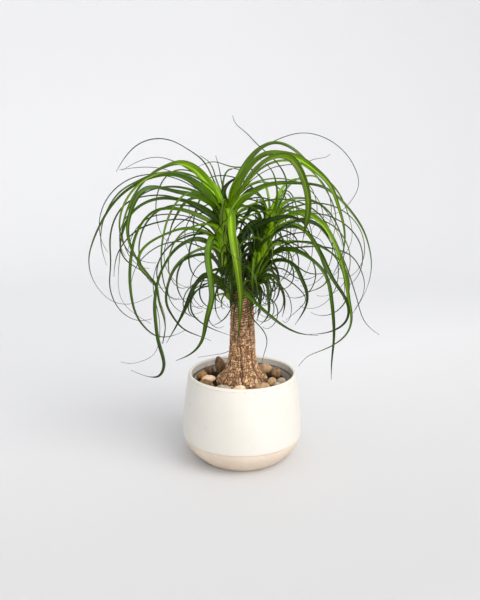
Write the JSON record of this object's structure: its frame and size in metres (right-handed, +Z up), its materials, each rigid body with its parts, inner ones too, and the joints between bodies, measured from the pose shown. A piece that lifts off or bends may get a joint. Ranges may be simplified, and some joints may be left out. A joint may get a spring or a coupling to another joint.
{
  "type": "potted ponytail palm",
  "caption": "Ponytail palm with a swollen bark trunk and heads of long arching leaves, in a round two-tone stoneware pot topped with river pebbles.",
  "frame": {"origin": "centre of the pot's flat underside, on the surface that it stands on", "axes": "+Z up along the trunk, -Y towards the front of the plant as it is usually seen, +X to its right"},
  "size_m": [0.4773, 0.3891, 0.5637],
  "materials": {
    "stoneware": "satin cream glaze, with a bare beige clay band round the foot",
    "nursery_plastic": "taupe, matte",
    "soil": "dark crumbly potting mix",
    "bark": "corky, cracked into small plates with ring scars",
    "leaf": "living leaf, satin, yellow-green at the base",
    "stone_brown": "smooth river stone",
    "stone_umber": "smooth river stone",
    "stone_ochre": "smooth river stone",
    "stone_cream": "smooth river stone",
    "stone_olive": "smooth river stone",
    "stone_grey": "smooth river stone",
    "stone_tan": "smooth river stone"
  },
  "bodies": {
    "root": {"pot": "stoneware", "grow_pot": "nursery_plastic", "soil": "soil", "trunk": "bark", "head_main": "leaf", "head_right": "leaf", "rosette_left": "leaf", "rosette_right": "leaf", "pebble_01": "stone_brown", "pebble_02": "stone_umber", "pebble_03": "stone_ochre", "pebble_04": "stone_cream", "pebble_05": "stone_olive", "pebble_06": "stone_grey", "pebble_07": "stone_umber", "pebble_08": "stone_cream", "pebble_09": "stone_brown", "pebble_10": "stone_tan", "pebble_11": "stone_grey", "pebble_12": "stone_tan", "pebble_13": "stone_grey", "pebble_14": "stone_brown", "pebble_15": "stone_tan", "pebble_16": "stone_umber", "pebble_17": "stone_grey", "pebble_18": "stone_brown", "pebble_19": "stone_cream"}
  },
  "joints": []
}
